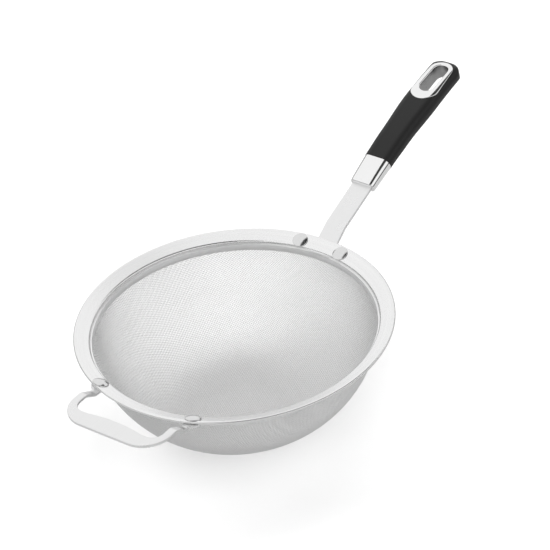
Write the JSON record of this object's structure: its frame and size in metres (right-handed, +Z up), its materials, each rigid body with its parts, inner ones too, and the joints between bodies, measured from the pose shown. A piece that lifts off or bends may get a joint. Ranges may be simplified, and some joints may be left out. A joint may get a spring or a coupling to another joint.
{
  "type": "wire mesh strainer",
  "caption": "Round wire-mesh kitchen strainer with a sloped steel rim, a riveted long handle with a dark soft grip and hang slot, and a flat helper handle opposite.",
  "frame": {"origin": "centre of the bowl's pressed flat, on its underside, which is the face it stands on", "axes": "+Z up along the bowl's axis, +X from the bowl's axis along the long handle, +Y to its left"},
  "size_m": [0.456, 0.24, 0.1442],
  "materials": {
    "steel_mesh": "woven stainless wire, satin",
    "polished_steel": "stainless steel, soft polish",
    "satin_steel": "stainless steel, satin",
    "polished_cap": "mirror polish",
    "nylon_core": "moulded nylon",
    "soft_grip": "matte soft-touch elastomer"
  },
  "bodies": {
    "root": {"mesh_basket": "steel_mesh", "rim_flange": "polished_steel", "clamp_band": "satin_steel", "long_handle_tang": "satin_steel", "helper_handle": "satin_steel", "long_handle_rivets": "polished_steel", "helper_rivets": "polished_steel", "ferrule": "polished_cap", "grip_core": "nylon_core", "grip_skin": "soft_grip", "hang_liner": "polished_cap"}
  },
  "joints": []
}
